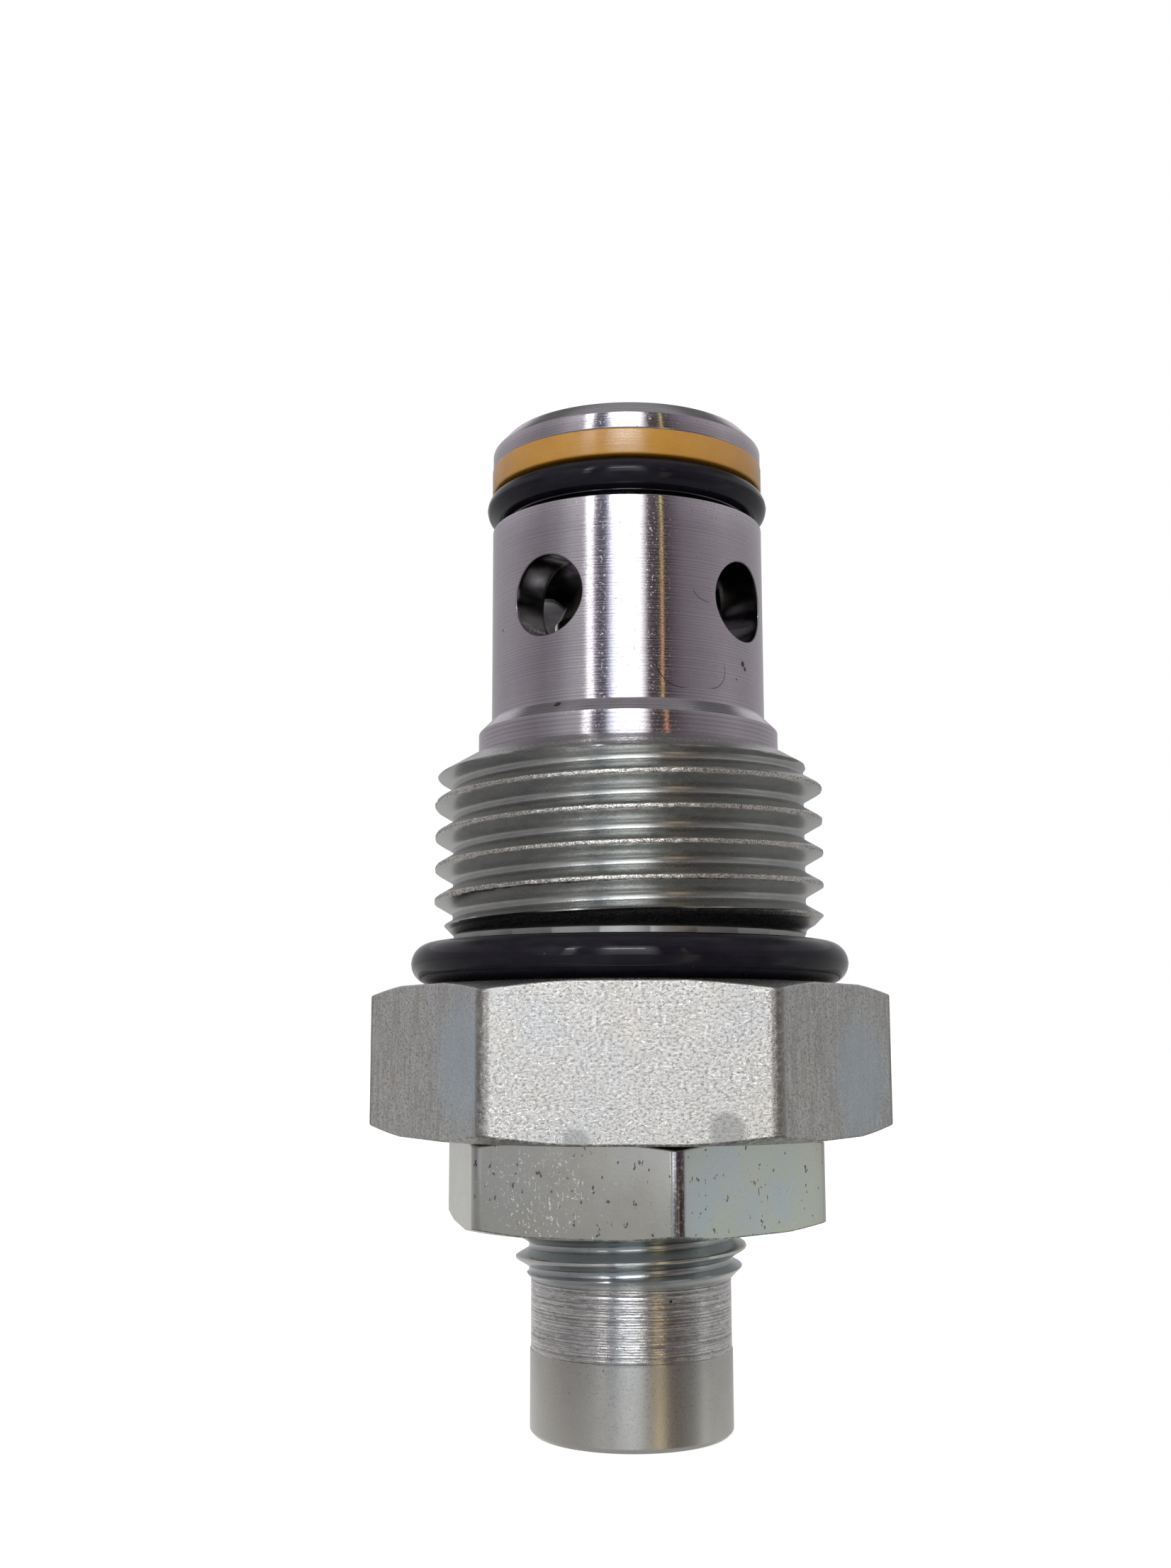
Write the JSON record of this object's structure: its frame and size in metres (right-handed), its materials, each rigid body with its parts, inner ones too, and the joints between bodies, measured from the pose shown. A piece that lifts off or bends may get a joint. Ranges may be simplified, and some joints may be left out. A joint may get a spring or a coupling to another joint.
{
  "type": "hydraulic cartridge valve",
  "caption": "Screw-in needle valve cartridge: ported sleeve with nose seal, threaded hexagon body with port seal, and an adjusting stem held by a jam nut.",
  "frame": {"origin": "on the valve's axis, in the plane of the hexagon's seating face", "axes": "+Z along the axis towards the nose, -Y square to one flat of the body hexagon"},
  "size_m": [0.0292, 0.0254, 0.0557],
  "materials": {
    "body_zinc": "bright zinc plate over machined steel",
    "cage_steel": "fine turned steel",
    "stem_zinc": "bright zinc plate, turned",
    "nut_zinc": "satin zinc plate",
    "seal_rubber": "smooth black nitrile",
    "backup_amber": "amber engineering plastic",
    "backup_white": "white fluoropolymer"
  },
  "bodies": {
    "valve": {"valve_body": "body_zinc", "cage": "cage_steel", "port_o_ring": "seal_rubber", "nose_o_ring": "seal_rubber", "nose_backup_ring": "backup_amber"},
    "stem_seals": {"stem_o_ring": "seal_rubber", "stem_backup_ring": "backup_white"},
    "stem": {"adjusting_stem": "stem_zinc"},
    "lock_nut": {"lock_nut": "nut_zinc"}
  },
  "joints": [
    {"name": "stem_travel", "type": "slide", "parent": "valve", "child": "stem_seals", "axis": [0, 0, 1], "range_m": [-0.00254, 0.00381]},
    {"name": "stem_turn", "type": "hinge", "parent": "stem_seals", "child": "stem", "pos_m": [0, 0, 0], "axis": [0, 0, 1], "range_deg": [-720.5, 1080.5]},
    {"name": "nut_turn", "type": "hinge", "parent": "valve", "child": "lock_nut", "pos_m": [0, 0, -0.0104], "axis": [0, 0, 1], "range_deg": [-720, 0]}
  ],
  "couplings": [
    {"joint": "stem_turn", "follows": "stem_travel", "rad_per_m": 4947.4}
  ]
}
